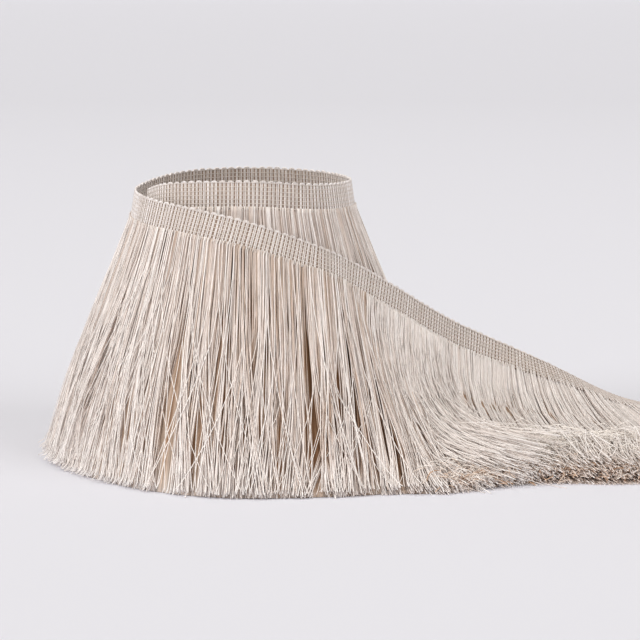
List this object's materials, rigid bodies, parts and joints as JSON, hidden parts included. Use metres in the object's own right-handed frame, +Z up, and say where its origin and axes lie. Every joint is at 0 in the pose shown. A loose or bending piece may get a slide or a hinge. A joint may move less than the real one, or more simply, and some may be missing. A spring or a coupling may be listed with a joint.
{
  "type": "fringe trim",
  "caption": "Cut yarn fringe trim with a narrow woven heading tape, standing on its fringe in an open loop, its outer end led down to lie on the surface.",
  "frame": {"origin": "centre of the footprint on the surface it stands on", "axes": "+X towards the end that lies flat, +Y to the back of the loop, +Z up"},
  "size_m": [0.3917, 0.2497, 0.1404],
  "materials": {
    "woven_tape": "matt woven linen tape, ribbed across",
    "cut_yarn": "undyed twisted yarn with a soft sheen"
  },
  "bodies": {
    "root": {"heading_tape": "woven_tape", "fringe_01": "cut_yarn", "fringe_02": "cut_yarn", "fringe_03": "cut_yarn", "fringe_04": "cut_yarn", "fringe_05": "cut_yarn", "fringe_06": "cut_yarn", "fringe_07": "cut_yarn", "fringe_08": "cut_yarn", "fringe_09": "cut_yarn", "fringe_10": "cut_yarn", "fringe_11": "cut_yarn", "fringe_12": "cut_yarn"}
  },
  "joints": []
}
